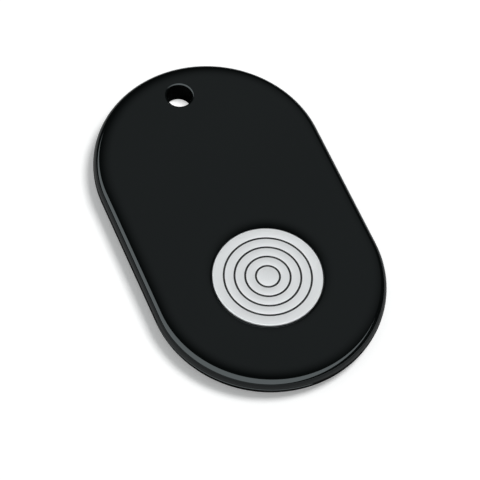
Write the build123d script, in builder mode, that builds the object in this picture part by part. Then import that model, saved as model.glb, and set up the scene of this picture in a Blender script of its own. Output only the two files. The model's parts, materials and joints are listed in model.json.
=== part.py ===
from build123d import *

import os

# A slim key tag that is found by radio and sounds a buzzer when its button is pressed.
# Millimetres. The origin is under the middle of the tag, +Z is up through the button's
# face and +Y points to the key-ring hole.

# Outer form
body_width = 36.0  # across the straight sides
body_length = 58.2  # end to end
head_room = 1.15  # above the cell, for its contact and the button's flange
seam_height = 2.6  # widest line, where the two shells meet
top_edge_inset = 0.95  # how far the top edge rounds in
base_edge_inset = 2.2  # how far the underside rounds in
crown_width = 2.0  # band inside the top edge where the face begins to fall
crown_drop = 0.07  # fall of the face across that band
seam_bevel = 0.08  # bevel of each shell at the seam

# Shell walls and the joint between the shells
top_wall = 0.9
floor_wall = 0.8
side_wall = 1.3
lip_thickness = 0.5  # skirt of the top shell that drops into the base shell
lip_depth = 0.65
lip_clearance = 0.05
gasket_height = 0.35
catch_length = 4.0  # snap catches on the lip
catch_height = 0.3
catch_reach = 0.2
catch_spacing = 14.0  # between the two catches of one side

# Key-ring hole
hole_radius = 2.0
hole_setback = 5.35  # from the end of the tag to the hole's axis
hole_rounding = 0.3
sleeve_wall = 1.0  # tube of the top shell that lines the hole
sleeve_clearance = 0.05

# Push button
disc_radius = 8.3
disc_thickness = 0.4
disc_proud = 0.2  # above the flat face
disc_chamfer = 0.1
ring_count = 4  # filled grooves turned in the disc
ring_first_radius = 1.8
ring_pitch = 1.6
ring_width = 0.3
ring_depth = 0.12
ring_sink = 0.02  # fill below the face of the disc
spigot_radius = 1.2  # centring spigot under the disc
spigot_height = 0.2
spigot_clearance = 0.05
adhesive_thickness = 0.05
adhesive_setback = 0.3
button_gap = 0.15  # between the button and its opening
button_travel = 0.25
dish_width = 3.05  # shallow finger dish in the face around the button
dish_depth = 0.16
cap_plate = 0.55
cap_skirt = 1.0
flange_lip = 0.9
flange_thickness = 0.4
seal_thickness = 0.15
seal_margin = 0.1
nub_radius = 1.5
guide_gap = 0.15  # between the flange and the collar round it
guide_wall = 0.65
guide_depth = 0.7

# Circuit board and its heat-staked posts
board_lift = 0.35  # board above the floor
board_thickness = 0.6
board_margin = 0.8  # board to the side walls
board_clearance = 0.2  # board to the battery boss
arm_length = 9.5  # the board's arms, beyond the middle of the cell
post_radius = 1.0
pin_radius = 0.5
pin_clearance = 0.1
stake_radius = 0.85
stake_height = 0.25
post_edge = 1.5  # post axis to the edge of the board
lower_post_angle = 55.0
upper_post_angle = 15.0
middle_post_y = -1.0

# Tact switch
switch_side = 5.2
switch_height = 0.6
switch_cover = 0.1
switch_floor = 0.08
well_radius = 1.6
plunger_radius = 1.0
plunger_flange = 0.4
plunger_flange_height = 0.1
plunger_proud = 0.3  # more than the button's travel
plunger_gap = 0.05
dome_thickness = 0.06
dome_radius = 1.45

# Piezo buzzer, bonded to the floor under the button
plate_radius = 6.0
plate_thickness = 0.1
ceramic_radius = 4.5
ceramic_thickness = 0.1
pad_radius = 0.5

# Coin cell, 20 x 1.6
cell_radius = 10.0
cell_height = 1.6
can_wall = 0.25
cap_step = 0.15  # cap above the can
crimp_height = 0.2
crimp_reach = 0.27
grommet_wall = 0.45
grommet_foot = 0.1
electrode_gap = 0.1
separator_thickness = 0.08
cathode_height = 0.55
cap_rounding = 0.2

# Battery door and its bayonet
door_recess = 0.1
door_thickness = 0.55
door_lip = 0.85  # door face beyond its neck
door_gap = 0.1
cup_wall = 0.75
cup_clearance = 0.1
door_seal_height = 0.4
door_seal_width = 0.6
door_seal_gap = 0.05  # around the neck
ledge_thickness = 0.35
lug_clearance = 0.03
lug_height = 0.37
lug_reach = 0.75
lug_angle = 28.0
notch_angle = 33.0
lug_count = 3
door_turn = 45.0
stop_angle = 4.0
stop_gap_angle = 2.0
boss_wall = 0.6
boss_spacing = 0.3  # battery boss to the hole's sleeve, and to the buzzer
slot_length = 14.0
slot_width = 1.6
slot_depth = 0.3
mark_radius = 0.45  # dimples that show the door's closed and open places
mark_depth = 0.1
mark_setback = 1.3  # from the edge of the door, on both sides of the gap

# Cell contacts
leaf_thickness = 0.15
leaf_width = 3.0
leaf_bend = 0.3  # bend radius along the middle of the leaf
tab_clearance = 0.4  # solder tab to the edges of the board
can_contact_rise = 0.15  # positive leaf above its tab
cap_contact_rise = 0.05  # negative leaf above the cell's cap before it dips to touch it

# Parts on the board: length, width and height, and place from the button's axis
chip_size = (5.0, 5.0, 0.7)
chip_place = (-8.5, -1.5)
antenna_size = (7.0, 2.0, 0.6)
antenna_edge = 1.4  # antenna to the round edge of the board
crystal_size = (2.5, 2.0, 0.5)
crystal_place = (-8.5, -6.5)
clock_size = (3.2, 1.5, 0.6)
clock_place = (-8.5, 3.6)
inductor_size = (4.0, 4.0, 0.65)
inductor_place = (8.8, 0.5)
transistor_size = (2.9, 1.3, 0.6)
transistor_place = (8.8, -5.0)
chip_part_size = (1.0, 0.5, 0.5)  # one capacitor or resistor
chip_part_pitch = 1.4
column_x = 4.5  # columns of capacitors and resistors beside the switch
column_count = 5
matching_count = 3  # capacitors that match the antenna
matching_gap = 0.9

# Heights and places that follow from the sizes above
end_y = (body_length - body_width) / 2
door_top = door_recess + door_thickness
cell_top = door_top + cell_height
ceiling_z = cell_top + head_room
body_height = ceiling_z + top_wall
board_z = floor_wall + board_lift
board_top = board_z + board_thickness
switch_top = board_top + switch_height
plunger_top = switch_top + plunger_proud
hole_y = body_length / 2 - hole_setback
sleeve_radius = hole_radius + sleeve_wall
neck_radius = cell_radius + cup_clearance + cup_wall
door_radius = neck_radius + door_lip
boss_radius = door_radius + door_gap + boss_wall
cell_y = hole_y - sleeve_radius - sleeve_clearance - boss_spacing - boss_radius
button_y = min(-end_y, cell_y - boss_radius - boss_spacing - plate_radius)
ledge_z = door_top + door_seal_height
ledge_top = ledge_z + ledge_thickness
lug_top = ledge_top + lug_clearance + lug_height
cutout_radius = boss_radius + board_clearance
board_half_width = body_width / 2 - side_wall - board_margin
disc_top = body_height + disc_proud
disc_z = disc_top - disc_thickness
cap_top = disc_z - adhesive_thickness
flange_top = ceiling_z - seal_thickness
flange_z = flange_top - flange_thickness
flange_radius = disc_radius + flange_lip
lip_z = seam_height - lip_depth
gasket_z = lip_z - gasket_height
door_axis = Location((0, cell_y, 0))
button_axis = Location((0, button_y, 0))


def outline(inset, mode=Mode.ADD):
    """Draw the tag's outline, drawn in by an inset, in the sketch being made."""
    SlotOverall(body_length - 2 * inset, body_width - 2 * inset, rotation=90, mode=mode)


def carry_round(section):
    """Carry a half section along one side and round one end, and mirror it to the whole outline."""
    with BuildPart() as form:
        extrude(section, amount=end_y, dir=(0, 1, 0))
        end_section = section.moved(Location((0, end_y, 0)))
        revolve(end_section, axis=Axis((0, end_y, 0), (0, 0, 1)), revolution_arc=90)
        mirror(about=Plane.XZ)
        mirror(about=Plane.YZ)
    return form.part


def ring(inner, outer, low, high, centre, mode=Mode.ADD):
    """Make a plain ring in the part being made; an inner radius of 0 makes a disc."""
    with BuildSketch(Plane.XY.offset(low)) as flat:
        with Locations(centre):
            Circle(outer)
            if inner > 0:
                Circle(inner, mode=Mode.SUBTRACT)
    extrude(flat.sketch, amount=high - low, mode=mode)


def sector(inner, outer, middle, spread):
    """Draw one sector of a ring about the door's axis, in the sketch being made."""
    with BuildLine(door_axis) as edge:
        arc = CenterArc((0, 0), outer, middle - spread / 2, spread)
        back = CenterArc((0, 0), inner, middle - spread / 2, spread)
        Line(arc @ 0, back @ 0)
        Line(arc @ 1, back @ 1)
    make_face(edge.edges())


def save(piece, name):
    """Label a finished piece and write it to its own file."""
    piece.part.label = name
    export_step(piece.part, f"parts/{name}.step")


os.makedirs("parts", exist_ok=True)

# Outer forms of the two shells
half_width = body_width / 2
crown_start = half_width - top_edge_inset - crown_width
crown_end = half_width - top_edge_inset
crown_z = body_height - crown_drop
bezier_share = 0.5523  # makes a cubic Bezier curve follow a quarter ellipse
edge_fall = crown_z - seam_height

with BuildSketch(Plane.XZ) as top_section:
    with BuildLine():
        Line((0, seam_height), (0, body_height))
        Line((0, body_height), (crown_start, body_height))
        Bezier(
            (crown_start, body_height),
            (crown_start + crown_width / 2, body_height),
            (crown_end, crown_z),
        )
        Bezier(
            (crown_end, crown_z),
            (crown_end + bezier_share * top_edge_inset, crown_z - crown_drop * top_edge_inset / crown_width),
            (half_width, seam_height + seam_bevel + bezier_share * edge_fall),
            (half_width, seam_height + seam_bevel),
        )
        Line((half_width, seam_height + seam_bevel), (half_width - seam_bevel, seam_height))
        Line((half_width - seam_bevel, seam_height), (0, seam_height))
    make_face()

with BuildSketch(Plane.XZ) as base_section:
    with BuildLine():
        Line((0, 0), (half_width - base_edge_inset, 0))
        Bezier(
            (half_width - base_edge_inset, 0),
            (half_width - base_edge_inset + bezier_share * base_edge_inset, 0),
            (half_width, (1 - bezier_share) * (seam_height - seam_bevel)),
            (half_width, seam_height - seam_bevel),
        )
        Line((half_width, seam_height - seam_bevel), (half_width - seam_bevel, seam_height))
        Line((half_width - seam_bevel, seam_height), (0, seam_height))
        Line((0, seam_height), (0, 0))
    make_face()

top_form = carry_round(top_section.sketch.face())
base_form = carry_round(base_section.sketch.face())

# Snap catches stand on the straight sides and at the two ends of the lip
lip_outside = side_wall - lip_thickness
side_x = half_width - lip_outside
catch_places = []
for side in (-1, 1):
    catch_places.append(Location((side * side_x, -catch_spacing / 2, 0)))
    catch_places.append(Location((side * side_x, catch_spacing / 2, 0)))
    catch_places.append(Location((0, side * (end_y + side_x), 0), (0, 0, 90)))
catch_z = lip_z + lip_clearance

# Top shell
with BuildPart() as top_shell:
    add(top_form)
    with BuildSketch(Plane.XY.offset(seam_height)):
        outline(side_wall)
    extrude(amount=ceiling_z - seam_height, mode=Mode.SUBTRACT)
    # lip with its snap catches
    with BuildSketch(Plane.XY.offset(lip_z)):
        outline(lip_outside)
        outline(side_wall, mode=Mode.SUBTRACT)
    extrude(amount=lip_depth)
    with BuildSketch(Plane.XY.offset(catch_z)):
        with Locations(catch_places):
            Rectangle(2 * catch_reach, catch_length)
    extrude(amount=catch_height)
    # shallow dish round the button
    with BuildSketch(Plane.XZ.offset(-button_y)) as dish_section:
        with BuildLine():
            dish_edge = Bezier(
                (disc_radius, body_height - dish_depth),
                (disc_radius + button_gap + dish_width / 2, body_height),
                (disc_radius + button_gap + dish_width, body_height),
            )
            Line(dish_edge @ 1, (disc_radius, body_height))
            Line((disc_radius, body_height), dish_edge @ 0)
        make_face()
    revolve(axis=Axis((0, button_y, 0), (0, 0, 1)), mode=Mode.SUBTRACT)
    # opening with its chamfered rim, and the collar that guides the flange
    ring(0, disc_radius + button_gap, ceiling_z, body_height, button_axis, mode=Mode.SUBTRACT)
    ring(
        flange_radius + guide_gap,
        flange_radius + guide_gap + guide_wall,
        ceiling_z - guide_depth,
        ceiling_z,
        button_axis,
    )
    # sleeve that lines the key-ring hole
    ring(0, sleeve_radius, 0, ceiling_z, Location((0, hole_y, 0)))
    ring(0, hole_radius, 0, body_height, Location((0, hole_y, 0)), mode=Mode.SUBTRACT)
    hole_rims = top_shell.edges().filter_by(GeomType.CIRCLE)
    hole_rims = hole_rims.filter_by(lambda rim: abs(rim.radius - hole_radius) < 0.001)
    fillet(hole_rims, hole_rounding)
save(top_shell, "top_shell")

# Posts that hold the circuit board, in pairs: at both round ends and on the straight sides
post_reach = board_half_width - post_edge
post_places = []
for side in (-1, 1):
    lower = Vector(post_reach, 0).rotate(Axis.Z, -lower_post_angle)
    upper = Vector(post_reach, 0).rotate(Axis.Z, upper_post_angle)
    post_places.append(Location((side * lower.X, lower.Y - end_y, 0)))
    post_places.append(Location((side * upper.X, upper.Y + end_y, 0)))
    post_places.append(Location((side * post_reach, middle_post_y, 0)))

mark_reach = door_radius + door_gap + mark_setback

# Base shell
with BuildPart() as base_shell:
    add(base_form)
    with BuildSketch(Plane.XY.offset(floor_wall)):
        outline(side_wall)
    extrude(amount=seam_height - floor_wall, mode=Mode.SUBTRACT)
    # rebate for the gasket and the lip, with pockets for the catches
    with BuildSketch(Plane.XY.offset(gasket_z)):
        outline(lip_outside - lip_clearance)
        outline(side_wall, mode=Mode.SUBTRACT)
    extrude(amount=seam_height - gasket_z, mode=Mode.SUBTRACT)
    with BuildSketch(Plane.XY.offset(catch_z - lip_clearance)):
        with Locations(catch_places):
            Rectangle(2 * (catch_reach + lip_clearance), catch_length + 2 * lip_clearance)
    extrude(amount=catch_height + 2 * lip_clearance, mode=Mode.SUBTRACT)
    # boss and bore of the battery door
    ring(0, boss_radius, 0, ledge_top, door_axis)
    ring(0, door_radius + door_gap, 0, ledge_z, door_axis, mode=Mode.SUBTRACT)
    ring(0, neck_radius + door_gap, 0, ledge_top, door_axis, mode=Mode.SUBTRACT)
    with BuildSketch(Plane.XY.offset(ledge_z)):
        for turn in range(lug_count):
            middle = turn * 360 / lug_count - door_turn
            sector(neck_radius, neck_radius + lug_reach + door_gap, middle, notch_angle)
    extrude(amount=ledge_thickness, mode=Mode.SUBTRACT)
    # stops beside the closed and the open place of each lug
    with BuildSketch(Plane.XY.offset(ledge_top)):
        for turn in range(lug_count):
            closed = turn * 360 / lug_count + lug_angle / 2 + stop_gap_angle + stop_angle / 2
            sector(neck_radius + door_gap, boss_radius, closed, stop_angle)
            opened = turn * 360 / lug_count - door_turn - lug_angle / 2 - stop_gap_angle - stop_angle / 2
            sector(neck_radius + door_gap, boss_radius, opened, stop_angle)
    extrude(amount=lug_height)
    # posts, their pins and the staked heads that hold the board down
    for radius, low, high in (
        (post_radius, floor_wall, board_z),
        (pin_radius, board_z, board_top),
        (stake_radius, board_top, board_top + stake_height),
    ):
        with BuildSketch(Plane.XY.offset(low)):
            with Locations(post_places):
                Circle(radius)
        extrude(amount=high - low)
    # dimples beside the door, at its closed and open places
    with BuildSketch():
        with Locations(door_axis):
            with Locations([Vector(mark_reach, 0).rotate(Axis.Z, turn) for turn in (0, -door_turn)]):
                Circle(mark_radius)
    extrude(amount=mark_depth, mode=Mode.SUBTRACT)
    # hole for the sleeve
    ring(0, sleeve_radius + sleeve_clearance, 0, seam_height, Location((0, hole_y, 0)), mode=Mode.SUBTRACT)
save(base_shell, "base_shell")


# Seal between the shells
with BuildPart() as seam_gasket:
    with BuildSketch(Plane.XY.offset(gasket_z)):
        outline(lip_outside)
        outline(side_wall, mode=Mode.SUBTRACT)
    extrude(amount=gasket_height)
save(seam_gasket, "seam_gasket")

# Silver face of the button, with turned grooves, and the fill of the grooves
ring_radii = [ring_first_radius + turn * ring_pitch for turn in range(ring_count)]
with BuildPart() as button_disc:
    ring(0, disc_radius, disc_z, disc_top, button_axis)
    chamfer(button_disc.edges().group_by(Axis.Z)[-1], disc_chamfer)
    ring(0, spigot_radius, cap_top - spigot_height + spigot_clearance, disc_z, button_axis)
    for radius in ring_radii:
        inner = radius - ring_width / 2
        ring(inner, inner + ring_width, disc_top - ring_depth, disc_top, button_axis, mode=Mode.SUBTRACT)
save(button_disc, "button_disc")

with BuildPart() as ring_inlays:
    for radius in ring_radii:
        inner = radius - ring_width / 2
        ring(inner, inner + ring_width, disc_top - ring_depth, disc_top - ring_sink, button_axis)
save(ring_inlays, "ring_inlays")

with BuildPart() as disc_adhesive:
    ring(spigot_radius + spigot_clearance, disc_radius - adhesive_setback, cap_top, disc_z, button_axis)
save(disc_adhesive, "disc_adhesive")

# Cap under the disc: plate, skirt, retaining flange and the nub that presses the switch
plate_z = cap_top - cap_plate
with BuildPart() as button_cap:
    ring(0, disc_radius, plate_z, cap_top, button_axis)
    ring(disc_radius - cap_skirt, disc_radius, flange_z, plate_z, button_axis)
    ring(disc_radius - cap_skirt, flange_radius, flange_z, flange_top, button_axis)
    ring(0, nub_radius, plunger_top, plate_z, button_axis)
    spigot_hole = spigot_radius + spigot_clearance
    ring(0, spigot_hole, cap_top - spigot_height, cap_top, button_axis, mode=Mode.SUBTRACT)
save(button_cap, "button_cap")

with BuildPart() as button_seal:
    seal_inner = disc_radius + button_gap + seal_margin
    ring(seal_inner, flange_radius - seal_margin, flange_top, ceiling_z, button_axis)
save(button_seal, "button_seal")

# Tact switch: housing, plunger and the snap dome under the plunger
well_floor = board_top + switch_floor
cover_z = switch_top - switch_cover
plunger_z = cover_z - plunger_flange_height
with BuildPart() as switch_body:
    with BuildSketch(Plane.XY.offset(board_top)):
        with Locations(button_axis):
            RectangleRounded(switch_side, switch_side, switch_side / 10)
    extrude(amount=switch_height)
    ring(0, well_radius, well_floor, cover_z, button_axis, mode=Mode.SUBTRACT)
    ring(0, plunger_radius + plunger_gap, cover_z, switch_top, button_axis, mode=Mode.SUBTRACT)
save(switch_body, "switch_body")

with BuildPart() as switch_plunger:
    ring(0, plunger_radius, plunger_z, plunger_top, button_axis)
    ring(0, plunger_radius + plunger_flange, plunger_z, cover_z, button_axis)
save(switch_plunger, "switch_plunger")

with BuildPart() as snap_dome:
    with BuildSketch(Plane.XZ.offset(-button_y)):
        with BuildLine():
            crown = TangentArc((0, plunger_z), (dome_radius, well_floor), tangent=(1, 0))
            hollow = TangentArc(
                (0, plunger_z - dome_thickness), (dome_radius - dome_thickness, well_floor), tangent=(1, 0)
            )
            Line(crown @ 0, hollow @ 0)
            Line(crown @ 1, hollow @ 1)
        make_face()
    revolve(axis=Axis((0, button_y, 0), (0, 0, 1)))
save(snap_dome, "snap_dome")

# Circuit board, drawn in from the side walls, cut round the battery boss and the posts
with BuildPart() as circuit_board:
    with BuildSketch(Plane.XY.offset(board_z)):
        outline(side_wall + board_margin)
        with Locations((0, cell_y + arm_length + body_length / 2)):
            Rectangle(body_width, body_length, mode=Mode.SUBTRACT)
        with Locations(door_axis):
            Circle(cutout_radius, mode=Mode.SUBTRACT)
        with Locations(post_places):
            Circle(pin_radius + pin_clearance, mode=Mode.SUBTRACT)
    extrude(amount=board_thickness)
save(circuit_board, "circuit_board")


antenna_y = antenna_edge + antenna_size[1] / 2 - end_y - board_half_width - button_y
matching_y = antenna_y + antenna_size[1] / 2 + matching_gap


def block(size, place):
    """Stand one boxed part on the board, placed from the button's axis, in the part being made."""
    with BuildSketch(Plane.XY.offset(board_top)) as foot:
        with Locations((place[0], button_y + place[1])):
            Rectangle(size[0], size[1])
    extrude(foot.sketch, amount=size[2])


with BuildPart() as bluetooth_chip:
    block(chip_size, chip_place)
    chamfer(bluetooth_chip.edges().group_by(Axis.Z)[-1], chip_size[2] / 8)
save(bluetooth_chip, "bluetooth_chip")

with BuildPart() as chip_antenna:
    block(antenna_size, (0, antenna_y))
save(chip_antenna, "chip_antenna")

for name, size, place in (
    ("main_crystal", crystal_size, crystal_place),
    ("clock_crystal", clock_size, clock_place),
    ("buzzer_inductor", inductor_size, inductor_place),
    ("buzzer_transistor", transistor_size, transistor_place),
):
    with BuildPart() as board_part:
        block(size, place)
        fillet(board_part.edges().filter_by(Axis.Z), size[1] / 6)
        chamfer(board_part.edges().group_by(Axis.Z)[-1], size[2] / 8)
    save(board_part, name)

column = [(step - (column_count - 1) / 2) * chip_part_pitch for step in range(column_count)]
matching = [(step - (matching_count - 1) / 2) * chip_part_pitch for step in range(matching_count)]
with BuildPart() as capacitors:
    for place_y in column:
        block(chip_part_size, (-column_x, place_y))
    for place_x in matching:
        block(chip_part_size, (place_x, matching_y))
save(capacitors, "capacitors")

with BuildPart() as resistors:
    for place_y in column:
        block(chip_part_size, (column_x, place_y))
save(resistors, "resistors")

# Piezo buzzer: brass plate, ceramic disc and two contact pads up to the board
plate_top = floor_wall + plate_thickness
ceramic_top = plate_top + ceramic_thickness
with BuildPart() as buzzer_plate:
    ring(0, plate_radius, floor_wall, plate_top, button_axis)
save(buzzer_plate, "buzzer_plate")

with BuildPart() as buzzer_ceramic:
    ring(0, ceramic_radius, plate_top, ceramic_top, button_axis)
save(buzzer_ceramic, "buzzer_ceramic")

with BuildPart() as buzzer_pads:
    rim_pad = Location((-(ceramic_radius + plate_radius) / 2, button_y, 0))
    ring(0, pad_radius, plate_top, board_z, rim_pad)
    ring(0, pad_radius, ceramic_top, board_z, button_axis)
save(buzzer_pads, "buzzer_pads")

# Coin cell: can, grommet, cap and what they hold
can_floor = door_top + can_wall
can_top = cell_top - cap_step
can_inside = cell_radius - can_wall
cap_radius = can_inside - grommet_wall
cap_inside = cap_radius - can_wall
electrode_radius = cap_inside - electrode_gap
cathode_top = can_floor + cathode_height
separator_top = cathode_top + separator_thickness

with BuildPart() as cell_can:
    ring(0, cell_radius, door_top, can_floor, door_axis)
    ring(can_inside, cell_radius, can_floor, can_top, door_axis)
    ring(can_inside - crimp_reach, can_inside, can_top - crimp_height, can_top, door_axis)
save(cell_can, "cell_can")

with BuildPart() as cell_grommet:
    ring(cap_radius, can_inside, can_floor, can_top - crimp_height, door_axis)
    ring(cap_inside, cap_radius, can_floor, can_floor + grommet_foot, door_axis)
save(cell_grommet, "cell_grommet")

with BuildPart() as cell_cap:
    ring(0, cap_radius, can_floor + grommet_foot, cell_top, door_axis)
    fillet(cell_cap.edges().group_by(Axis.Z)[-1], cap_rounding)
    ring(0, cap_inside, can_floor + grommet_foot, cell_top - can_wall, door_axis, mode=Mode.SUBTRACT)
save(cell_cap, "cell_cap")

for name, low, high in (
    ("cell_cathode", can_floor, cathode_top),
    ("cell_separator", cathode_top, separator_top),
    ("cell_anode", separator_top, cell_top - can_wall),
):
    with BuildPart() as cell_layer:
        ring(0, electrode_radius, low, high, door_axis)
    save(cell_layer, name)

# Battery door: recessed face with a coin slot, neck, and the lugs of its bayonet
with BuildPart() as battery_door:
    ring(0, door_radius, door_recess, door_top, door_axis)
    chamfer(battery_door.edges().group_by(Axis.Z)[0], door_gap)
    ring(cell_radius + cup_clearance, neck_radius, door_top, lug_top, door_axis)
    with BuildSketch(Plane.XY.offset(ledge_top + lug_clearance)):
        for turn in range(lug_count):
            sector(neck_radius - cup_wall / 2, neck_radius + lug_reach, turn * 360 / lug_count, lug_angle)
    extrude(amount=lug_height)
    with BuildSketch(Plane.XY.offset(door_recess)):
        with Locations(door_axis):
            SlotOverall(slot_length, slot_width)
    extrude(amount=slot_depth, mode=Mode.SUBTRACT)
    with BuildSketch(Plane.XY.offset(door_recess)):
        with Locations((door_radius - mark_setback, cell_y)):
            Circle(mark_radius)
    extrude(amount=mark_depth, mode=Mode.SUBTRACT)
save(battery_door, "battery_door")

with BuildPart() as door_seal:
    seal_inside = neck_radius + door_seal_gap
    ring(seal_inside, seal_inside + door_seal_width, door_top, ledge_z, door_axis)
save(door_seal, "door_seal")

# Cell contacts: bent leaves, each soldered to one arm of the board
tab_z = board_top + leaf_thickness / 2
tab_inner = cutout_radius + tab_clearance
tab_outer = board_half_width - tab_clearance
can_leaf_z = tab_z + can_contact_rise
cap_leaf_z = cell_top + leaf_thickness / 2
cap_run_z = cap_leaf_z + cap_contact_rise


def leaf(points, name):
    """Bend one contact leaf through points of the vertical plane across the cell, and write it."""
    with BuildPart() as contact:
        with BuildSketch(Plane.XZ.offset(-cell_y)):
            with BuildLine() as middle_line:
                FilletPolyline(*points, radius=leaf_bend)
            trace(middle_line.edges(), leaf_thickness)
        extrude(amount=leaf_width / 2, both=True)
    save(contact, name)


leaf(
    [
        (tab_outer, tab_z),
        (tab_inner, tab_z),
        (tab_inner - 2 * tab_clearance, can_leaf_z),
        (cell_radius, can_leaf_z),
    ],
    "positive_contact",
)
leaf(
    [
        (-tab_outer, tab_z),
        (-tab_inner, tab_z),
        (-tab_inner + 2 * tab_clearance, cap_run_z),
        (-leaf_width, cap_run_z),
        (-leaf_width / 2, cap_leaf_z),
        (leaf_width / 2, cap_leaf_z),
    ],
    "negative_contact",
)
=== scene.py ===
import json
import logging
import math
from dataclasses import dataclass
from enum import Enum
from typing import Sequence

import bmesh
import bpy
from mathutils import Matrix, Vector


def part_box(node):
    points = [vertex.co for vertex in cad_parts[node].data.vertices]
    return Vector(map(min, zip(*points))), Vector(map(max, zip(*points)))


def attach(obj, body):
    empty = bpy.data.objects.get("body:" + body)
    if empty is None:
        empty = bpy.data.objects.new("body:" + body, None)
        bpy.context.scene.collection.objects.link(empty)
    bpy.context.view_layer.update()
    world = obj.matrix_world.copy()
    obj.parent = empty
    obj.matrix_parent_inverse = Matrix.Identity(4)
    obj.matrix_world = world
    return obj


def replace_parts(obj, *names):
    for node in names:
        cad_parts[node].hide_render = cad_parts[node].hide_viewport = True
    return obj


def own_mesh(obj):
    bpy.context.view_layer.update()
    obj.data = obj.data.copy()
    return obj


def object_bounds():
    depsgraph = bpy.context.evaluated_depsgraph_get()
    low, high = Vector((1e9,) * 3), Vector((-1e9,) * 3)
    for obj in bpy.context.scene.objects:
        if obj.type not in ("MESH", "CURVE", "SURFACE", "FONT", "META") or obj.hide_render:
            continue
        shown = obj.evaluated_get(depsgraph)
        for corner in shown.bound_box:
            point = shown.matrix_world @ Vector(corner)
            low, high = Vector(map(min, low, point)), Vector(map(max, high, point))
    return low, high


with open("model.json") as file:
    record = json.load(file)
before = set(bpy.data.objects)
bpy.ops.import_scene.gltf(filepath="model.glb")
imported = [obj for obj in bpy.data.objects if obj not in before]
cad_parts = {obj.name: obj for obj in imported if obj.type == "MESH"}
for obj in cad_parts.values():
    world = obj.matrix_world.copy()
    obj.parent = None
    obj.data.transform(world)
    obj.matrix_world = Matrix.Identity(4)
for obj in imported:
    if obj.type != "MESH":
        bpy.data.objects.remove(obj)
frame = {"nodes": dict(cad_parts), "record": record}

CAD_BOX = [list(corner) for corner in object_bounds()]
MM = 0.001
NEAR = 1e-7
SHARP = math.radians(32)
ROUND = 0.5523
GUARD = 0.02
EDGE_TURN = math.degrees(0.03)
log = logging.getLogger("tag")

Profile = Sequence[tuple[float, float]]
Inputs = dict[int | str, object]
Axis = tuple[float, float, float]


class Signal:
    """One shader socket, with the arithmetic that is used on it."""

    def __init__(self, graph: "Graph", socket: bpy.types.NodeSocket) -> None:
        """Wrap a socket of a graph."""
        self.graph = graph
        self.socket = socket

    def _math(self, operation: str, first: object, second: object) -> "Signal":
        """Add one Math node.

        Args:
            operation: The Math node's operation.
            first: A number or a Signal.
            second: A number or a Signal.

        Returns:
            The node's result.
        """
        return self.graph.node("ShaderNodeMath", {"operation": operation}, {0: first, 1: second})

    def __add__(self, other: object) -> "Signal":
        """Sum."""
        return self._math("ADD", self, other)

    def __sub__(self, other: object) -> "Signal":
        """Difference."""
        return self._math("SUBTRACT", self, other)

    def __rsub__(self, other: object) -> "Signal":
        """Difference, from the right."""
        return self._math("SUBTRACT", other, self)

    def __mul__(self, other: object) -> "Signal":
        """Product."""
        return self._math("MULTIPLY", self, other)

    def __rmul__(self, other: object) -> "Signal":
        """Product, from the right."""
        return self._math("MULTIPLY", other, self)

    def maximum(self, other: object) -> "Signal":
        """The larger of two values."""
        return self._math("MAXIMUM", self, other)

    def above(self, level: float) -> "Signal":
        """1 where the value is above a level, and 0 elsewhere."""
        return self._math("GREATER_THAN", self, level)


class Graph:
    """A node tree that is being built."""

    def __init__(self, tree: bpy.types.NodeTree) -> None:
        """Start on an emptied node tree."""
        self.tree = tree
        tree.nodes.clear()

    def node(self, kind: str, settings: dict[str, object], inputs: Inputs, output: int | str = 0) -> Signal:
        """Add a node.

        Args:
            kind: The node's type.
            settings: Properties that are set first.
            inputs: Values or Signals for its sockets, by number or name.
            output: The socket that is wanted.

        Returns:
            The wanted output.
        """
        made = self.tree.nodes.new(kind)
        for name, value in settings.items():
            setattr(made, name, value)
        for key, value in inputs.items():
            if isinstance(value, Signal):
                self.tree.links.new(value.socket, made.inputs[key])
            else:
                made.inputs[key].default_value = value
        return Signal(self, made.outputs[output]) if made.outputs else None

    def place(self, scale: Axis = (1.0, 1.0, 1.0)) -> Signal:
        """Object coordinates in millimetres, stretched by a scale."""
        where = self.node("ShaderNodeTexCoord", {}, {}, "Object")
        factors = tuple(value / MM for value in scale)
        return self.node("ShaderNodeVectorMath", {"operation": "MULTIPLY"}, {0: where, 1: factors})

    def noise(self, where: Signal, scale: float, detail: float = 2.0) -> Signal:
        """Noise between 0 and 1.

        Args:
            where: The coordinates.
            scale: Bumps per millimetre.
            detail: Octaves.

        Returns:
            The noise's value.
        """
        return self.node("ShaderNodeTexNoise", {}, {"Vector": where, "Scale": scale, "Detail": detail})

    def tint(self, factor: Signal, low: Sequence[float], high: Sequence[float]) -> Signal:
        """Mix two colours by a factor."""
        return self.node(
            "ShaderNodeMix",
            {"data_type": "RGBA"},
            {0: factor, 6: (*low, 1.0), 7: (*high, 1.0)},
            2,
        )

    def dot(self, vector: Signal, other: Axis) -> Signal:
        """The dot product of a vector with a fixed one."""
        return self.node("ShaderNodeVectorMath", {"operation": "DOT_PRODUCT"}, {0: vector, 1: other}, "Value")

    def band(self, value: Signal, none: float, full: float) -> Signal:
        """Ease from 0 to 1 as a value goes from one level to another.

        Args:
            value: The value.
            none: Where the result is 0.
            full: Where the result is 1.

        Returns:
            The eased share.
        """
        ends = {"Value": value, "From Min": none, "From Max": full}
        if none > full:
            ends = {"Value": value, "From Min": full, "From Max": none, "To Min": 1.0, "To Max": 0.0}
        return self.node("ShaderNodeMapRange", {"interpolation_type": "SMOOTHSTEP"}, ends)

    def bump(self, height: Signal, depth: float) -> Signal:
        """Bump from a height between 0 and 1.

        Args:
            height: The height.
            depth: What a height of 1 stands for, in metres.

        Returns:
            The bent normal.
        """
        return self.node("ShaderNodeBump", {}, {"Height": height, "Distance": depth, "Strength": 1.0})


def new_material(name: str) -> tuple[bpy.types.Material, Graph]:
    """Start a material.

    Args:
        name: Its name.

    Returns:
        The material and its emptied graph.
    """
    material = bpy.data.materials.new(name)
    material.use_nodes = True
    return material, Graph(material.node_tree)


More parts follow.
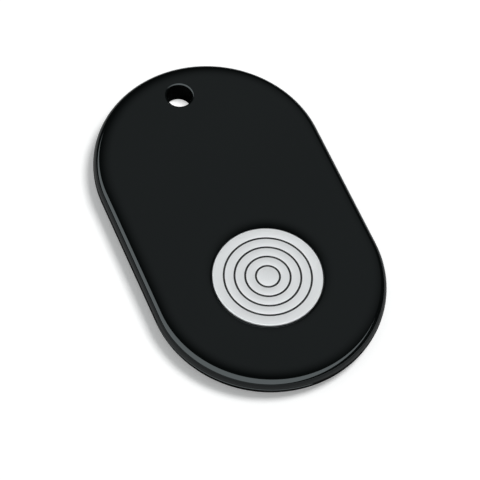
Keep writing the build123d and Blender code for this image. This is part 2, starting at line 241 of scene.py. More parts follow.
class Texture(Enum):
    """How a finish varies over its surface."""

    MOULDED = "moulded"
    BLASTED = "blasted"
    ROLLED = "rolled"
    PRINTED = "printed"
    FIRED = "fired"


@dataclass(frozen=True)
class Finish:
    """One finish: its colour, gloss and texture.

    Args:
        name: The material's name.
        colour: The linear base colour.
        texture: How it varies.
        roughness: The middle roughness.
        metallic: 1 for bare metal.
        spread: How far the roughness varies either way.
        grain: Grains per millimetre.
        depth: Depth of the grain, in millimetres.
        shade: Darkest share of the base colour.
    """

    name: str
    colour: tuple[float, float, float]
    texture: Texture
    roughness: float
    metallic: float = 0.0
    spread: float = 0.04
    grain: float = 6.0
    depth: float = 0.004
    shade: float = 0.85

    def _height(self, graph: Graph) -> Signal:
        """The grain's height, between 0 and 1."""
        if self.texture is Texture.ROLLED:
            return graph.noise(graph.place((0.08, 1.0, 1.0)), self.grain)
        if self.texture is Texture.PRINTED:
            tracks = graph.node(
                "ShaderNodeTexBrick",
                {"offset": 0.35},
                {"Vector": graph.place(), "Scale": self.grain, "Mortar Size": 0.06, "Brick Width": 1.7},
                "Fac",
            )
            return tracks * 0.8 + graph.noise(graph.place(), self.grain * 4) * 0.2
        if self.texture is Texture.FIRED:
            return graph.noise(graph.place(), self.grain, 5.0)
        fine = graph.noise(graph.place(), self.grain)
        if self.texture is Texture.BLASTED:
            return fine * 0.6 + graph.noise(graph.place(), self.grain * 3) * 0.4
        return fine

    def build(self) -> bpy.types.Material:
        """Make the material.

        Returns:
            The material.
        """
        material, graph = new_material(self.name)
        height = self._height(graph)
        broad = graph.noise(graph.place(), 0.12)
        dark = tuple(value * self.shade for value in self.colour)
        mixed = height if self.texture is Texture.PRINTED else height * 0.5 + broad * 0.5
        rough = (broad * 0.6 + height * 0.4) * (2 * self.spread) + (self.roughness - self.spread)
        shader = graph.node(
            "ShaderNodeBsdfPrincipled",
            {},
            {
                "Base Color": graph.tint(mixed, dark, self.colour),
                "Roughness": rough,
                "Metallic": self.metallic,
                "Normal": graph.bump(height, self.depth * MM),
            },
        )
        graph.node("ShaderNodeOutputMaterial", {}, {"Surface": shader})
        return material


@dataclass(frozen=True)
class GlossBlack:
    """High-gloss black plastic of the case, with faint hairlines and a little moulding flow.

    Args:
        name: The material's name.
        colour: The linear base colour.
        roughness: Roughness of clean gloss.
        hairline: Extra roughness on a hairline.
        along: Noise level above which a hairline runs lengthwise.
        across: Noise level above which one runs crosswise.
        flow: Extra roughness where the plastic flowed.
        lighter: How much lighter the colour is there.
    """

    name: str = "case_black"
    colour: tuple[float, float, float] = (0.0016, 0.0020, 0.0020)
    roughness: float = 0.035
    hairline: float = 0.05
    along: float = 0.71
    across: float = 0.72
    flow: float = 0.02
    lighter: float = 1.8

    def build(self) -> bpy.types.Material:
        """Make the material.

        Returns:
            The material.
        """
        material, graph = new_material(self.name)
        along = graph.noise(graph.place((5.0, 0.05, 0.4)), 1.0)
        across = graph.noise(graph.place((0.06, 4.0, 0.4)), 1.0)
        lines = along.above(self.along).maximum(across.above(self.across))
        flow = graph.noise(graph.place(), 0.05)
        lighter = tuple(value * self.lighter for value in self.colour)
        shader = graph.node(
            "ShaderNodeBsdfPrincipled",
            {},
            {
                "Base Color": graph.tint(flow, self.colour, lighter),
                "Roughness": lines * self.hairline + flow * self.flow + self.roughness,
                "IOR": 1.5,
                "Specular Tint": (0.88, 0.97, 1.0, 1.0),
            },
        )
        graph.node("ShaderNodeOutputMaterial", {}, {"Surface": shader})
        return material


class Modeller:
    """A bmesh that becomes one piece of the tag."""

    def __init__(self, steps: int = 96) -> None:
        """Start empty, with a number of steps for half a turn."""
        self.bm = bmesh.new()
        self.steps = steps

    def _chain(self, points: Profile, y: float, x: float = 0.0) -> list[bmesh.types.BMEdge]:
        """Draw a profile in the vertical plane at y.

        Args:
            points: Distances from the axis and heights, in millimetres.
            y: The plane's place, in millimetres.
            x: The axis's place along the plane, in millimetres.

        Returns:
            The profile's edges.
        """
        made = [self.bm.verts.new(((x + r) * MM, y * MM, z * MM)) for r, z in points]
        return [self.bm.edges.new(pair) for pair in zip(made, made[1:])]

    def lathe(self, points: Profile, y: float, x: float = 0.0, steps: int | None = None) -> None:
        """Turn a profile fully round an upright axis.

        Args:
            points: Radii and heights, in millimetres.
            y: The axis's place, in millimetres.
            x: Its place across, in millimetres.
            steps: Steps for half a turn, if not the model's own.
        """
        chain = self._chain(points, y, x)
        bmesh.ops.spin(
            self.bm,
            geom=chain + list({v for e in chain for v in e.verts}),
            cent=(x * MM, y * MM, 0),
            axis=(0, 0, 1),
            angle=2 * math.pi,
            steps=2 * (steps or self.steps),
            use_merge=True,
        )

    def carry_round(self, points: Profile, end_y: float, runs: int = 24) -> None:
        """Carry a profile round the tag's outline: two straight sides and two round ends.

        Args:
            points: Distances from the middle line and heights, in millimetres.
            end_y: Centre of a round end, in millimetres.
            runs: Steps along a straight side.
        """
        geometry = self._chain(points, end_y)
        stretch = (0, -2 * end_y * MM / runs, 0)
        for centre, slide in ((end_y, stretch), (-end_y, tuple(-value for value in stretch))):
            turned = bmesh.ops.spin(
                self.bm,
                geom=geometry + list({v for e in geometry for v in e.verts}),
                cent=(0, centre * MM, 0),
                axis=(0, 0, 1),
                angle=math.pi,
                steps=self.steps,
            )
            moved = bmesh.ops.spin(
                self.bm,
                geom=turned["geom_last"],
                cent=(0, 0, 0),
                axis=(0, 0, 1),
                dvec=slide,
                angle=0,
                steps=runs,
            )
            geometry = [e for e in moved["geom_last"] if isinstance(e, bmesh.types.BMEdge)]

    def weld(self) -> None:
        """Join the corners that lie together."""
        bmesh.ops.remove_doubles(self.bm, verts=self.bm.verts, dist=NEAR)

    def fill(self, z: float) -> None:
        """Close the level gap between the open loops at one height, given in millimetres."""
        self.weld()
        rims = (e for e in self.bm.edges if e.is_boundary)
        level = [e for e in rims if all(abs(v.co.z - z * MM) < NEAR for v in e.verts)]
        bmesh.ops.triangle_fill(self.bm, use_beauty=True, edges=level, normal=(0, 0, 1))

    def finish(self, name: str, body: str, slot: str, material: bpy.types.Material) -> bpy.types.Object:
        """Make the piece.

        Args:
            name: The piece's name.
            body: The CAD body that it rides on.
            slot: The record's material slot; not used.
            material: Its finish.

        Returns:
            The piece.
        """
        self.weld()
        bmesh.ops.recalc_face_normals(self.bm, faces=self.bm.faces)
        for face in self.bm.faces:
            face.smooth = True
        open_edges = sum(1 for e in self.bm.edges if not e.is_manifold)
        mesh = bpy.data.meshes.new(name)
        self.bm.to_mesh(mesh)
        self.bm.free()
        mesh.set_sharp_from_angle(angle=SHARP)
        piece = bpy.data.objects.new(name, mesh)
        bpy.context.scene.collection.objects.link(piece)
        piece.data.materials.append(material)
        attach(piece, body)
        log.info("%s: %d faces, %d open edges", name, len(mesh.polygons), open_edges)
        return piece


def curve(points: Profile, steps: int) -> list[tuple[float, float]]:
    """Points along one Bezier curve of any degree.

    Args:
        points: Its control points.
        steps: Steps along it.

    Returns:
        The points, both ends included.
    """
    result = []
    for step in range(steps + 1):
        share = step / steps
        level = [Vector(point) for point in points]
        while len(level) > 1:
            level = [a.lerp(b, share) for a, b in zip(level, level[1:])]
        result.append(tuple(level[0]))
    return result


def quarter(
    centre: tuple[float, float], radius: float, start: float, steps: int = 8
) -> list[tuple[float, float]]:
    """Points of a quarter turn.

    Args:
        centre: Its centre, as a distance from the axis and a height.
        radius: Its radius.
        start: Where it starts, in degrees; it turns anticlockwise.
        steps: Steps along it.

    Returns:
        The points, both ends included.
    """
    turns = [math.radians(start + 90 * step / steps) for step in range(steps + 1)]
    return [(centre[0] + radius * math.cos(turn), centre[1] + radius * math.sin(turn)) for turn in turns]


def box_mm(node: str) -> tuple[Vector, Vector]:
    """A CAD node's lowest and highest corners, in millimetres."""
    low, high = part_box(node)
    return low / MM, high / MM


@dataclass
class Case:
    """The two glossy shells.

    Args:
        top_edge: How far the top edge rounds in.
        base_edge: How far the underside rounds in.
        crown_width: Band inside the top edge where the face begins to fall.
        crown_drop: Fall of the face across that band.
        bevel: Bevel of each shell at the seam.
        top_wall: Wall above the cavity.
        floor_wall: Wall below the cavity.
        side_wall: Wall beside the cavity.
        lip: Thickness of the lip that drops into the base.
        lip_depth: Depth of the lip.
        lip_gap: Clearance round the lip.
        gasket: Height of the gasket under the lip.
        rim: Rounding of the key-ring hole.
        button_gap: Gap round the button.
        dish_width: Width of the dish round the button.
        dish_depth: Depth of that dish.
        opening_edge: Rounding of the button's opening.
        sleeve_wall: Wall of the key-ring hole's sleeve.
        collar: Inner radius, wall and depth of the collar that guides the button.
        post: Radii of a board post, its pin and its staked head.
        post_edge: A post's axis to the board's edge.
        stake_height: Height of a staked head.
        lower_post_angle: Turn of the posts by the button, in degrees.
        upper_post_angle: Turn of the posts by the key-ring hole, in degrees.
        middle_post_y: Place of the posts between them.
    """

    top_edge: float = 0.95
    base_edge: float = 2.2
    crown_width: float = 2.0
    crown_drop: float = 0.07
    bevel: float = 0.08
    top_wall: float = 0.9
    floor_wall: float = 0.8
    side_wall: float = 1.3
    lip: float = 0.5
    lip_depth: float = 0.65
    lip_gap: float = 0.05
    gasket: float = 0.35
    rim: float = 0.3
    button_gap: float = 0.15
    dish_width: float = 3.05
    dish_depth: float = 0.16
    opening_edge: float = 0.06
    sleeve_wall: float = 1.0
    collar: tuple[float, float, float] = (9.35, 0.65, 0.7)
    post: tuple[float, float, float] = (1.0, 0.5, 0.85)
    post_edge: float = 1.5
    stake_height: float = 0.25
    lower_post_angle: float = 55.0
    upper_post_angle: float = 15.0
    middle_post_y: float = -1.0

    def __post_init__(self) -> None:
        """Take the outer sizes from the frame."""
        low, high = box_mm("top_shell")
        self.half = high.x
        self.end_y = high.y - high.x
        self.top = high.z
        self.seam = box_mm("base_shell")[1].z
        self.ceiling = self.top - self.top_wall
        disc_low, disc_high = box_mm("button_disc")
        self.button_y = (disc_low.y + disc_high.y) / 2
        self.opening = disc_high.x + self.button_gap
        hole = next(m for m in frame["record"]["mounts"] if m["kind"] == "bore")
        self.hole_y = hole["pos_m"][1] / MM
        self.hole_radius = hole["dims"]["r_mm"]
        self.sleeve = self.hole_radius + self.sleeve_wall
        log.info("case %.1f x %.1f x %.1f mm", 2 * self.half, 2 * high.y, self.top)

    def _top_outline(self) -> list[tuple[float, float]]:
        """The top shell's section, from the ceiling round the lip to the flat face."""
        inner = self.half - self.side_wall
        lip_x = inner + self.lip
        lip_z = self.seam - self.lip_depth
        wide = self.seam + self.bevel
        crown_x = self.half - self.top_edge
        crown_z = self.top - self.crown_drop
        fall = crown_z - self.seam
        lower = crown_z - self.crown_drop * self.top_edge / self.crown_width
        edge = curve(
            [
                (self.half, wide),
                (self.half, wide + ROUND * fall),
                (crown_x + ROUND * self.top_edge, lower),
                (crown_x, crown_z),
            ],
            28,
        )
        flat = crown_x - self.crown_width
        crown = curve([(crown_x, crown_z), ((crown_x + flat) / 2, self.top), (flat, self.top)], 14)
        return [
            (inner - 0.05, self.ceiling),
            (inner, self.ceiling),
            (inner, lip_z),
            (lip_x, lip_z),
            (lip_x, self.seam),
            (self.half - self.bevel, self.seam),
            *edge,
            *crown[1:],
            (flat - GUARD, self.top),
        ]

    def _button_well(self) -> list[tuple[float, float]]:
        """The section of the dish, the opening and the guide collar, from the face to the ceiling."""
        rim_r = self.opening
        dish = curve(
            [
                (rim_r + self.dish_width, self.top),
                (rim_r + self.dish_width / 2, self.top),
                (rim_r, self.top - self.dish_depth),
            ],
            20,
        )
        rounding = self.opening_edge
        inner, wall, depth = self.collar
        return [
            (rim_r + self.dish_width + GUARD, self.top),
            *dish[:-1],
            *quarter((rim_r + rounding, self.top - self.dish_depth - rounding), rounding, 90, 4),
            (rim_r, self.ceiling),
            (inner, self.ceiling),
            (inner, self.ceiling - depth),
            (inner + wall, self.ceiling - depth),
            (inner + wall, self.ceiling),
        ]

    def _key_hole(self) -> list[tuple[float, float]]:
        """The section of the key-ring hole's sleeve, from the face to the ceiling."""
        outer = self.hole_radius + self.rim
        return [
            (outer + 0.01, self.top),
            *quarter((outer, self.top - self.rim), self.rim, 90, 10),
            *quarter((outer, self.rim), self.rim, 180, 10),
            (self.sleeve, 0),
            (self.sleeve, self.ceiling),
        ]

    def build_top(self, material: bpy.types.Material) -> None:
        """Model the top shell, given its finish."""
        model = Modeller()
        model.carry_round(self._top_outline(), self.end_y)
        model.lathe(self._button_well(), self.button_y)
        model.lathe(self._key_hole(), self.hole_y)
        model.fill(self.top)
        model.fill(self.ceiling)
        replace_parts(model.finish("upper_case", "tag", "case_black", material), "top_shell")

    def _base_outline(self) -> list[tuple[float, float]]:
        """The base shell's section, from the floor round the rebate to the flat underside."""
        inner = self.half - self.side_wall
        rebate = inner + self.lip + self.lip_gap
        rebate_z = self.seam - self.lip_depth - self.gasket
        wide = self.seam - self.bevel
        flat = self.half - self.base_edge
        edge = curve(
            [
                (self.half, wide),
                (self.half, wide * (1 - ROUND)),
                (flat + ROUND * self.base_edge, 0),
                (flat, 0),
            ],
            32,
        )
        return [
            (inner - 0.05, self.floor_wall),
            (inner, self.floor_wall),
            (inner, rebate_z),
            (rebate, rebate_z),
            (rebate, self.seam),
            (self.half - self.bevel, self.seam),
            *edge,
            (flat - GUARD, 0),
        ]

    def _post_places(self) -> list[tuple[float, float]]:
        """Axes of the six posts that hold the circuit board."""
        reach = box_mm("circuit_board")[1].x - self.post_edge
        places = []
        for side in (-1, 1):
            places.append((side * reach, self.middle_post_y))
            ends = ((-self.lower_post_angle, -self.end_y), (self.upper_post_angle, self.end_y))
            for angle, centre in ends:
                turn = math.radians(angle)
                places.append((side * reach * math.cos(turn), centre + reach * math.sin(turn)))
        return places

    def _post_section(self) -> list[tuple[float, float]]:
        """Section of a post, its pin and its staked head."""
        low, high = box_mm("circuit_board")
        head = high.z + self.stake_height
        post, pin, stake = self.post
        foot = [(post, self.floor_wall), (post, low.z), (pin, low.z), (pin, high.z)]
        return [*foot, (stake, high.z), (stake, head), (0, head)]

    def build_base(self, material: bpy.types.Material) -> None:
        """Model the base shell with its battery boss, posts and sleeve hole, given its finish."""
        door = Door()
        model = Modeller()
        model.carry_round(self._base_outline(), self.end_y)
        model.lathe(door.boss_section(self.floor_wall), door.y)
        seat = self.sleeve + self.lip_gap
        model.lathe([(seat, 0), (seat, self.floor_wall)], self.hole_y)
        for x, y in self._post_places():
            model.lathe(self._post_section(), y, x, 24)
        for x, y in door.mark_places():
            model.lathe(door.mark_section(), y, x, 16)
        model.fill(0)
        model.fill(self.floor_wall)
        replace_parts(model.finish("lower_case", "tag", "case_black", material), "base_shell")


@dataclass
class Door:
    """The battery door and its boss in the base.

    Args:
        gap: Gap round the door.
        neck_step: The door's face beyond its neck.
        boss_wall: Wall of the boss.
        seal_height: Room for the seal.
        ledge: Thickness of the bayonet's ledge.
        mark: Radius and depth of the dimples at the door's closed and open places.
        mark_setback: The dimples' distance from the door's bore.
    """

    gap: float = 0.1
    neck_step: float = 0.85
    boss_wall: float = 0.6
    seal_height: float = 0.4
    ledge: float = 0.35
    mark: tuple[float, float] = (0.45, 0.1)
    mark_setback: float = 1.3

    def __post_init__(self) -> None:
        """Take the door's place and turn from the frame."""
        hinge = next(j for j in frame["record"]["behaviour"]["joints"] if j["name"] == "door_turn")
        self.turn = math.radians(hinge["range_deg"][1])
        low, high = box_mm("battery_door")
        self.y = (low.y + high.y) / 2
        self.radius = high.x
        self.face_top = box_mm("cell_can")[0].z

    def mark_places(self) -> list[tuple[float, float]]:
        """Axes of the two dimples beside the door."""
        reach = self.radius + self.gap + self.mark_setback
        return [(reach * math.cos(turn), self.y - reach * math.sin(turn)) for turn in (0.0, self.turn)]

    def mark_section(self) -> list[tuple[float, float]]:
        """Section of a dimple."""
        radius, depth = self.mark
        return [(radius, 0), (radius, depth), (0, depth)]

    def boss_section(self, floor: float) -> list[tuple[float, float]]:
        """The boss's section, from the underside to the inside floor.

        Args:
            floor: Height of the inside floor.

        Returns:
            Radii and heights.
        """
        bore = self.radius + self.gap
        neck = self.radius - self.neck_step + self.gap
        under = self.face_top + self.seal_height
        top = under + self.ledge
        outer = bore + self.boss_wall
        return [(bore, 0), (bore, under), (neck, under), (neck, top), (outer, top), (outer, floor)]


@dataclass
class Button:
    """The silver face of the button and the fill of its grooves.

    Args:
        edge: Rounding of the disc's edge.
        groove_depth: Depth of a groove.
        fill_dip: How far the fill lies below the face.
        lip: Rounding of a groove's edges.
    """

    edge: float = 0.1
    groove_depth: float = 0.12
    fill_dip: float = 0.02
    lip: float = 0.02

    def __post_init__(self) -> None:
        """Take the disc's sizes from the frame."""
        low, high = box_mm("button_disc")
        self.y = (low.y + high.y) / 2
        self.radius = high.x
        self.top = high.z
        self.under = box_mm("disc_adhesive")[1].z
        self.grooves = self._read_grooves()

    @staticmethod
    def _read_grooves() -> list[tuple[float, float]]:
        """Inner and outer radii of the grooves, read from the CAD rings."""
        low, high = box_mm("ring_inlays")
        centre = (low.y + high.y) / 2
        radii = sorted(
            {
                round(math.hypot(v.co.x / MM, v.co.y / MM - centre), 2)
                for v in frame["nodes"]["ring_inlays"].data.vertices
            }
        )
        return list(zip(radii[::2], radii[1::2]))

    def build(self, silver: bpy.types.Material, enamel: bpy.types.Material) -> None:
        """Model the disc and the rings.

        Args:
            silver: The disc's finish.
            enamel: The rings' finish.
        """
        section = [(0.0, self.under), (self.radius, self.under)]
        section += quarter((self.radius - self.edge, self.top - self.edge), self.edge, 0, 8)
        floor = self.top - self.groove_depth
        for inner, outer in reversed(self.grooves):
            section += quarter((outer + self.lip, self.top - self.lip), self.lip, 90, 4)
            section += [(outer, floor), (inner, floor)]
            section += quarter((inner - self.lip, self.top - self.lip), self.lip, 0, 4)
        section.append((0.0, self.top))
        model = Modeller(128)
        model.lathe(section, self.y)
        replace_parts(model.finish("button_face", "button", "disc_silver", silver), "button_disc")
        model = Modeller(128)
        fill = self.top - self.fill_dip
        for inner, outer in self.grooves:
            middle = (inner + outer) / 2
            top = curve([(outer, fill), (middle, fill - self.fill_dip), (inner, fill)], 6)
            model.lathe([(inner, floor), (outer, floor), *top, (inner, floor)], self.y)
        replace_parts(model.finish("groove_rings", "button", "groove_fill", enamel), "ring_inlays")


@dataclass
class SnapDome:
    """The switch's snap dome, modelled in its raised shape; the real dome flattens as the button goes down.

    Args:
        thickness: Thickness of the sheet.
        steps: Steps from the crown to the foot.
    """

    thickness: float = 0.06
    steps: int = 16

    def __post_init__(self) -> None:
        """Take the dome's sizes from the frame."""
        low, high = box_mm("snap_dome")
        self.y = (low.y + high.y) / 2
        self.radius = high.x
        self.foot = low.z
        self.crown = high.z

    def _arc(self, radius: float, height: float) -> list[tuple[float, float]]:
        """An arc from the crown to the foot, for one face of the sheet."""
        bend = (radius**2 + height**2) / (2 * height)
        reach = math.asin(min(1.0, radius / bend))
        turns = [reach * step / self.steps for step in range(self.steps + 1)]
        return [(bend * math.sin(turn), self.foot + height - bend * (1 - math.cos(turn))) for turn in turns]

    def build(self, steel: bpy.types.Material) -> None:
        """Model the dome, given its finish."""
        height = self.crown - self.foot
        outside = self._arc(self.radius, height)
        inside = self._arc(self.radius - self.thickness, height - self.thickness)
        model = Modeller()
        model.lathe([*outside, *reversed(inside)], self.y)
        dome = model.finish("switch_dome", "tag", "spring_steel", steel)
        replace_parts(dome, "snap_dome")
        press = next(j for j in frame["record"]["behaviour"]["joints"] if j["name"] == "plunger_press")
        travel = press["range_m"][1] / MM
        (height - travel) / height
        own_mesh(dome)


@dataclass
class Studio:
    """The floor, the lights, the world and the camera.

    Args:
        lens: The camera's lens, in millimetres.
        eye: The camera's place, in metres.
        right: The camera's right.
        down: The camera's down.
        floor_glow: How much the floor shines of itself.
        floor_drop: The floor's distance below the tag, in metres.
        hole_glow: How much more painted light the floor gives off to the camera under the key-ring hole.
        hole_glow_radii: Radii, in millimetres, where that painted light ends and where it is full.
        far_floor: Distances from the tag between which the painted shade in the floor's mirror image fades
            and that image goes to white.
        near_floor: Distances between which that painted shade goes from black to its own grey.
        near_share: How light that grey is.
        window_inset: Distance inside the outline where light comes up through the floor.
        window_hole: Distance from the key-ring hole where it doesn't.
        under_level: Level of the panel below the floor.
        fill: Level of the even fill.
        key_azimuth: The lamp's direction from +X, in degrees.
        key_zenith: The lamp's angle from straight up, in degrees.
        key_size: The lamp's side, in metres.
        key_level: The lamp's share of the light.
        ceiling: Direction of the dim panel overhead.
        ceiling_full: Angle from it where the panel is at its full level, in degrees.
        ceiling_soft: Angle where it ends, in degrees.
        ceiling_level: Its level.
        dome: Direction of the middle of the large round panel.
        dome_edge: Cosine of the angle where that panel ends.
        gap: Direction of the gap in it.
        gap_angle: Half angle of the gap, in degrees.
        dome_foot: Height above the horizon where the panel ends.
        dome_level: Its level.
        dark: Level of the dark between the panels.
    """

    lens: float = 168.44
    eye: Axis = (-0.08506, -0.15372, 0.29561)
    right: Axis = (0.91845, -0.39052, 0.06272)
    down: Axis = (-0.30859, -0.80672, -0.50396)
    floor_glow: float = 0.2
    floor_drop: float = 0.00001
    hole_glow: float = 0.55
    hole_glow_radii: tuple[float, float] = (3.2, 1.0)
    far_floor: tuple[float, float] = (30.0, 120.0)
    near_floor: tuple[float, float] = (0.5, 3.0)
    near_share: float = 0.4
    window_inset: float = 2.3
    window_hole: float = 3.5
    under_level: float = 0.6
    fill: float = 0.4
    key_azimuth: float = -8.0
    key_zenith: float = 21.0
    key_size: float = 0.34
    key_level: float = 0.6
    ceiling: Axis = (0.2772, 0.4489, 0.8495)
    ceiling_full: float = 3.5
    ceiling_soft: float = 12.0
    ceiling_level: float = 0.28
    dome: Axis = (-0.433, -0.26, 0.863)
    dome_edge: float = 0.459
    gap: Axis = (0.2474, 0.4435, 0.8614)
    gap_angle: float = 20.0
    dome_foot: float = 0.1
    dome_level: float = 2.6
    dark: float = 0.008

    def camera(self) -> None:
        """Set up the camera."""
        data = bpy.data.cameras.new("camera")
        data.lens = self.lens
        data.clip_start = 0.01
        data.clip_end = 10.0
        right, down = Vector(self.right), Vector(self.down)
        turn = Matrix((right, -down, -right.cross(down))).transposed()
        camera = bpy.data.objects.new("camera", data)
        camera.matrix_world = Matrix.Translation(self.eye) @ turn.to_4x4()
        bpy.context.scene.collection.objects.link(camera)
        bpy.context.scene.camera = camera

    def floor(self) -> None:
        """Lay a white floor that keeps the tag's shadow and shows white through the key-ring hole.

        It is clear from below, and light from below comes through it under the tag's flat back. It carries
        painted light under the key-ring hole, and to mirrored rays it is painted near black close to the tag,
        as painted shade in the tag's gloss.
        """
        bm = bmesh.new()
        bmesh.ops.create_grid(bm, x_segments=1, y_segments=1, size=3.0)
        bmesh.ops.translate(bm, verts=bm.verts, vec=(0, 0, -self.floor_drop))
        mesh = bpy.data.meshes.new("floor")
        bm.to_mesh(mesh)
        bm.free()
        floor = bpy.data.objects.new("floor", mesh)
        bpy.context.scene.collection.objects.link(floor)
        material, graph = new_material("floor_white")
        seen = self.rays(graph, "Is Camera Ray")
        mirrored = self.rays(graph, "Is Glossy Ray", "Is Transmission Ray")
        hole = next(m for m in frame["record"]["mounts"] if m["kind"] == "bore")
        away = graph.node(
            "ShaderNodeVectorMath",
            {"operation": "DISTANCE"},
            {0: graph.place(), 1: (hole["pos_m"][0] / MM, hole["pos_m"][1] / MM, 0.0)},
            "Value",
        )
        # Painted light: within a few millimetres of the key-ring hole the floor shines more to the camera, so
        # the floor seen through the hole shows white.
        painted_hole_light = graph.band(away, *self.hole_glow_radii) * self.hole_glow
        beside = self.beside(graph)
        open_floor = graph.band(beside, *self.far_floor)
        near_floor = self.near_share * graph.band(beside, *self.near_floor)
        # Painted shade: to mirrored rays the floor turns near black close to the tag, so the tag's gloss
        # shows a dark floor round its base.
        painted_reflection_shade = mirrored * (1 - open_floor) * (1 - near_floor)
        glowing = seen * (painted_hole_light + self.floor_glow) + mirrored * open_floor * self.floor_glow
        # The floor's white of 0.92 goes to the painted shade's near black of 0.02 where that mask is set.
        paper = graph.tint(painted_reflection_shade, (0.92, 0.92, 0.92), (0.02, 0.02, 0.02))
        matt = graph.node("ShaderNodeBsdfDiffuse", {}, {"Color": paper})
        glow = graph.node("ShaderNodeEmission", {}, {"Strength": glowing})
        both = graph.node("ShaderNodeAddShader", {}, {0: matt, 1: glow})
        below = graph.node("ShaderNodeNewGeometry", {}, {}, "Backfacing")
        clear = graph.node("ShaderNodeBsdfTransparent", {}, {})
        window = (0 - beside).above(self.window_inset) * away.above(self.window_hole) * (1 - seen)
        upward = graph.node("ShaderNodeMixShader", {}, {0: below.maximum(window), 1: both, 2: clear})
        graph.node("ShaderNodeOutputMaterial", {}, {"Surface": upward})
        floor.data.materials.append(material)

    @staticmethod
    def beside(graph: Graph) -> Signal:
        """How far a place lies outside the tag's outline, in millimetres."""
        half = CAD_BOX[1][0] / MM
        end_y = CAD_BOX[1][1] / MM - half
        kind = "ShaderNodeVectorMath"
        folded = graph.node(kind, {"operation": "ABSOLUTE"}, {0: graph.place()})
        shifted = graph.node(kind, {"operation": "SUBTRACT"}, {0: folded, 1: (0.0, end_y, 0.0)})
        beyond = graph.node(kind, {"operation": "MAXIMUM"}, {0: shifted, 1: (0.0, 0.0, 0.0)})
        return graph.node(kind, {"operation": "LENGTH"}, {0: beyond}, "Value") - half

    @staticmethod
    def around(graph: Graph, sky: Signal, middle: Axis, none: float, full: float) -> Signal:
        """Ease from 0 to 1 over the angle from a direction in the sky.

        Args:
            graph: The world's graph.
            sky: The direction that is looked at.
            middle: The direction that the angle is taken from.
            none: The angle where the result is 0, in degrees.
            full: The angle where it is 1, in degrees.

        Returns:
            The eased share.
        """
        turned = 1 - graph.dot(sky, middle)
        return graph.band(turned, *(1 - math.cos(math.radians(angle)) for angle in (none, full)))

    @staticmethod
    def rays(graph: Graph, *kinds: str) -> Signal:
        """1 for rays of the given kinds, and 0 for the rest."""
        found = graph.node("ShaderNodeLightPath", {}, {}, kinds[0])
        for kind in kinds[1:]:
            found = found.maximum(graph.node("ShaderNodeLightPath", {}, {}, kind))
        return found

    def lamp(self) -> None:
        """Hang the one lamp, a soft square panel that faces the tag and casts its shadow."""
        turn, tilt = math.radians(self.key_azimuth), math.radians(self.key_zenith)
        out = Vector((math.sin(tilt) * math.cos(turn), math.sin(tilt) * math.sin(turn), math.cos(tilt)))
        data = bpy.data.lights.new("key", "AREA")
        data.shape = "SQUARE"
        data.size = self.key_size
        data.energy = self.key_level * math.pi**2 / math.cos(tilt)
        lamp = bpy.data.objects.new("key", data)
        lamp.location = out
        lamp.rotation_euler = out.to_track_quat("Z", "Y").to_euler()
        lamp.visible_camera = False
        lamp.visible_glossy = False
        bpy.context.scene.collection.objects.link(lamp)

    def world(self) -> None:
        """Give the world an even fill, white to the camera, and the soft panels that gloss mirrors."""
        world = bpy.data.worlds.new("studio")
        world.use_nodes = True
        graph = Graph(world.node_tree)
        seen = self.rays(graph, "Is Camera Ray")
        mirrored = self.rays(graph, "Is Glossy Ray")
        sky = graph.node("ShaderNodeTexCoord", {}, {}, "Generated")
        height = graph.dot(sky, (0.0, 0.0, 1.0))
        overhead = self.around(graph, sky, self.ceiling, self.ceiling_soft, self.ceiling_full)
        beyond_gap = self.around(graph, sky, self.gap, self.gap_angle, self.gap_angle + EDGE_TURN)
        dome = graph.band(graph.dot(sky, self.dome), self.dome_edge, self.dome_edge + 0.02)
        dome = dome * beyond_gap * graph.band(height, self.dome_foot, self.dome_foot + 0.03)
        under = graph.band(height, -0.2, -0.9) * self.under_level
        panels = overhead * self.ceiling_level + dome * self.dome_level + under + self.dark
        fill = (1 - seen) * (1 - mirrored) * self.fill
        light = {"Color": (0.97, 1.0, 1.0, 1.0), "Strength": seen + fill + mirrored * panels}
        shell = graph.node("ShaderNodeBackground", {}, light)
        graph.node("ShaderNodeOutputWorld", {}, {"Surface": shell})
        bpy.context.scene.world = world

    def build(self) -> None:
        """Set everything up."""
        self.camera()
        self.floor()
        self.world()
        self.lamp()
        bpy.context.scene.view_settings.view_transform = "Standard"


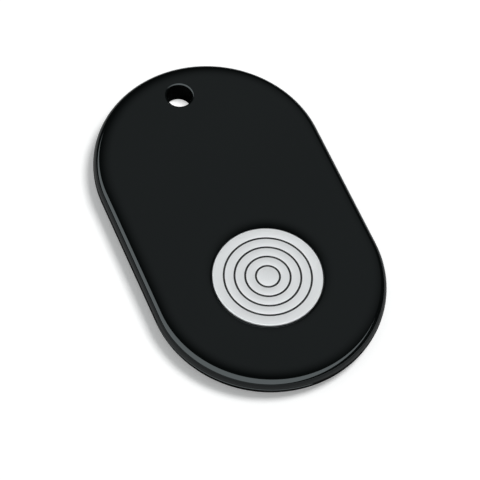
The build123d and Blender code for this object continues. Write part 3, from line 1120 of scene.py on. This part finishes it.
class Workshop:
    """Every finish, made once, and the CAD nodes that wear them."""

    FINISHES = (
        Finish("door_black", (0.012, 0.0125, 0.013), Texture.MOULDED, 0.38, grain=9.0, depth=0.01),
        Finish("cap_black", (0.01, 0.01, 0.0105), Texture.MOULDED, 0.45, grain=7.0),
        Finish(
            "disc_silver", (0.80, 0.81, 0.82), Texture.BLASTED, 0.42, 0.35, 0.05, 14.0, 0.002, 0.97
        ),
        Finish("groove_fill", (0.006, 0.006, 0.0065), Texture.MOULDED, 0.4, grain=12.0, depth=0.002),
        Finish("adhesive_film", (0.7, 0.68, 0.58), Texture.FIRED, 0.3),
        Finish("seal_rubber", (0.03, 0.03, 0.032), Texture.MOULDED, 0.7, grain=10.0, depth=0.006),
        Finish("switch_housing", (0.05, 0.05, 0.05), Texture.MOULDED, 0.5),
        Finish("plunger_plastic", (0.7, 0.68, 0.6), Texture.MOULDED, 0.45),
        Finish("spring_steel", (0.6, 0.6, 0.6), Texture.ROLLED, 0.28, 1.0),
        Finish(
            "board_laminate", (0.012, 0.1, 0.045), Texture.PRINTED, 0.32, grain=0.7, depth=0.03, shade=0.45
        ),
        Finish("chip_resin", (0.03, 0.03, 0.032), Texture.BLASTED, 0.55, grain=16.0),
        Finish("antenna_ceramic", (0.78, 0.78, 0.74), Texture.FIRED, 0.35),
        Finish("crystal_can", (0.66, 0.65, 0.6), Texture.ROLLED, 0.25, 1.0),
        Finish("capacitor_ceramic", (0.5, 0.38, 0.25), Texture.FIRED, 0.4),
        Finish("resistor_ceramic", (0.05, 0.05, 0.055), Texture.FIRED, 0.35),
        Finish("ferrite", (0.1, 0.1, 0.1), Texture.FIRED, 0.6, grain=12.0, depth=0.01),
        Finish("buzzer_brass", (0.72, 0.5, 0.22), Texture.ROLLED, 0.26, 1.0),
        Finish("piezo_ceramic", (0.8, 0.78, 0.72), Texture.FIRED, 0.4, 0.3),
        Finish("conductive_rubber", (0.05, 0.05, 0.05), Texture.MOULDED, 0.75),
        Finish("cell_steel", (0.68, 0.68, 0.67), Texture.ROLLED, 0.24, 1.0),
        Finish("cell_polymer", (0.6, 0.6, 0.58), Texture.MOULDED, 0.5),
        Finish("cathode_pellet", (0.035, 0.035, 0.035), Texture.FIRED, 0.85, grain=14.0, depth=0.02),
        Finish("separator_paper", (0.86, 0.86, 0.84), Texture.FIRED, 0.9, grain=10.0, depth=0.02),
        Finish("anode_metal", (0.7, 0.7, 0.7), Texture.ROLLED, 0.4, 1.0),
        Finish("contact_bronze", (0.7, 0.48, 0.26), Texture.ROLLED, 0.28, 1.0),
    )

    def __init__(self) -> None:
        """Make the finishes."""
        self.materials = {finish.name: finish.build() for finish in self.FINISHES}
        self.materials["case_black"] = GlossBlack().build()

    def dress(self) -> None:
        """Give each CAD node the finish that its slot names."""
        for entry in frame["record"]["subparts"]:
            node = frame["nodes"][entry["node"]]
            node.data.materials.clear()
            node.data.materials.append(self.materials[entry["material_slot"]])
            log.info("%s wears %s", entry["node"], entry["material_slot"])


def main() -> None:
    """Build the tag's looks and the studio round it."""
    logging.basicConfig(level=logging.INFO, format="%(message)s")
    workshop = Workshop()
    workshop.dress()
    case = Case()
    case.build_top(workshop.materials["case_black"])
    case.build_base(workshop.materials["case_black"])
    Button().build(workshop.materials["disc_silver"], workshop.materials["groove_fill"])
    SnapDome().build(workshop.materials["spring_steel"])
    Studio().build()


if __name__ == "__main__":
    main()
